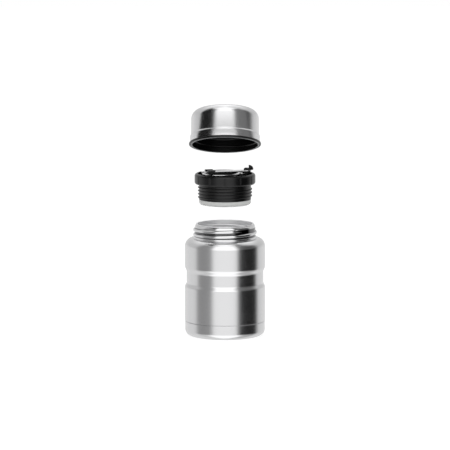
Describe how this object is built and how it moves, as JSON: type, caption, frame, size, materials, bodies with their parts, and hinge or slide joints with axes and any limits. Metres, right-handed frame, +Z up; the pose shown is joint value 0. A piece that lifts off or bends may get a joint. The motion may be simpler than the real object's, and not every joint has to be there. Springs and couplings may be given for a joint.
{
  "type": "vacuum food jar",
  "caption": "Wide-mouth steel vacuum food jar with a waisted body, a black screw stopper holding a folding spoon, and a steel screw lid that serves as a bowl.",
  "frame": {"origin": "centre of the base, on the face that the jar stands on", "axes": "+Z up along the jar's axis, -Y towards the viewer of the picture, +X to the viewer's right"},
  "size_m": [0.094, 0.0998, 0.2737],
  "materials": {
    "brushed_steel": "brushed around the axis",
    "polished_steel": "polished",
    "black_plastic": "satin",
    "clear_silicone": "translucent satin",
    "grey_silicone": "satin",
    "foam": "matte",
    "foil": "bright",
    "getter": "matte",
    "solder": "satin"
  },
  "bodies": {
    "jar": {"outer_shell": "brushed_steel", "inner_vessel": "polished_steel", "outer_bottom": "brushed_steel", "vacuum_plug": "solder", "getter": "getter", "radiation_foil": "foil", "base_cap": "brushed_steel"},
    "stopper_seal": {"stopper_seal": "clear_silicone"},
    "stopper": {"stopper_top": "black_plastic", "stopper_plug": "black_plastic", "stopper_foam": "foam", "stopper_base": "black_plastic"},
    "spoon_bowl": {"spoon_bowl": "polished_steel", "spoon_foot": "black_plastic", "spoon_rivet": "polished_steel", "spoon_knob": "black_plastic"},
    "spoon_handle": {"spoon_handle": "polished_steel"},
    "spoon_collar": {"spoon_collar": "black_plastic"},
    "lid_seal": {"lid_seal": "grey_silicone"},
    "lid": {"lid_shell": "brushed_steel", "lid_liner": "black_plastic", "lid_foam": "foam"}
  },
  "joints": [
    {"name": "stopper_lift", "type": "slide", "parent": "jar", "child": "stopper_seal", "axis": [0, 0, 1], "range_m": [-0.04675, 0]},
    {"name": "stopper_turn", "type": "hinge", "parent": "stopper_seal", "child": "stopper", "pos_m": [0, 0, 0.18], "axis": [0, 0, 1], "range_deg": [-4366.75, 0]},
    {"name": "spoon_out", "type": "slide", "parent": "stopper", "child": "spoon_bowl", "axis": [0.2346, -0.8754, 0.4226], "range_m": [0, 0.06]},
    {"name": "spoon_unfold", "type": "hinge", "parent": "spoon_bowl", "child": "spoon_handle", "pos_m": [0.02511, 0.00673, 0.1936], "axis": [0, 0, 1], "range_deg": [0, 180]},
    {"name": "spoon_lock", "type": "slide", "parent": "spoon_handle", "child": "spoon_collar", "axis": [0.9659, 0.2588, 0], "range_m": [0, 0.024]},
    {"name": "lid_tip", "type": "hinge", "parent": "stopper_seal", "child": "lid_seal", "pos_m": [0, 0.173, 0.1817], "axis": [-1, 0, 0], "range_deg": [-20.32, 0]},
    {"name": "lid_turn", "type": "hinge", "parent": "lid_seal", "child": "lid", "pos_m": [0, 0.00415, 0.2239], "axis": [0, 0.3469, 0.9379], "range_deg": [-3804.47, 0]}
  ],
  "couplings": [
    {"joint": "stopper_lift", "follows": "stopper_turn", "m_per_rad": 0.00061275},
    {"joint": "lid_tip", "follows": "lid_turn", "ratio": 0.0053358}
  ]
}
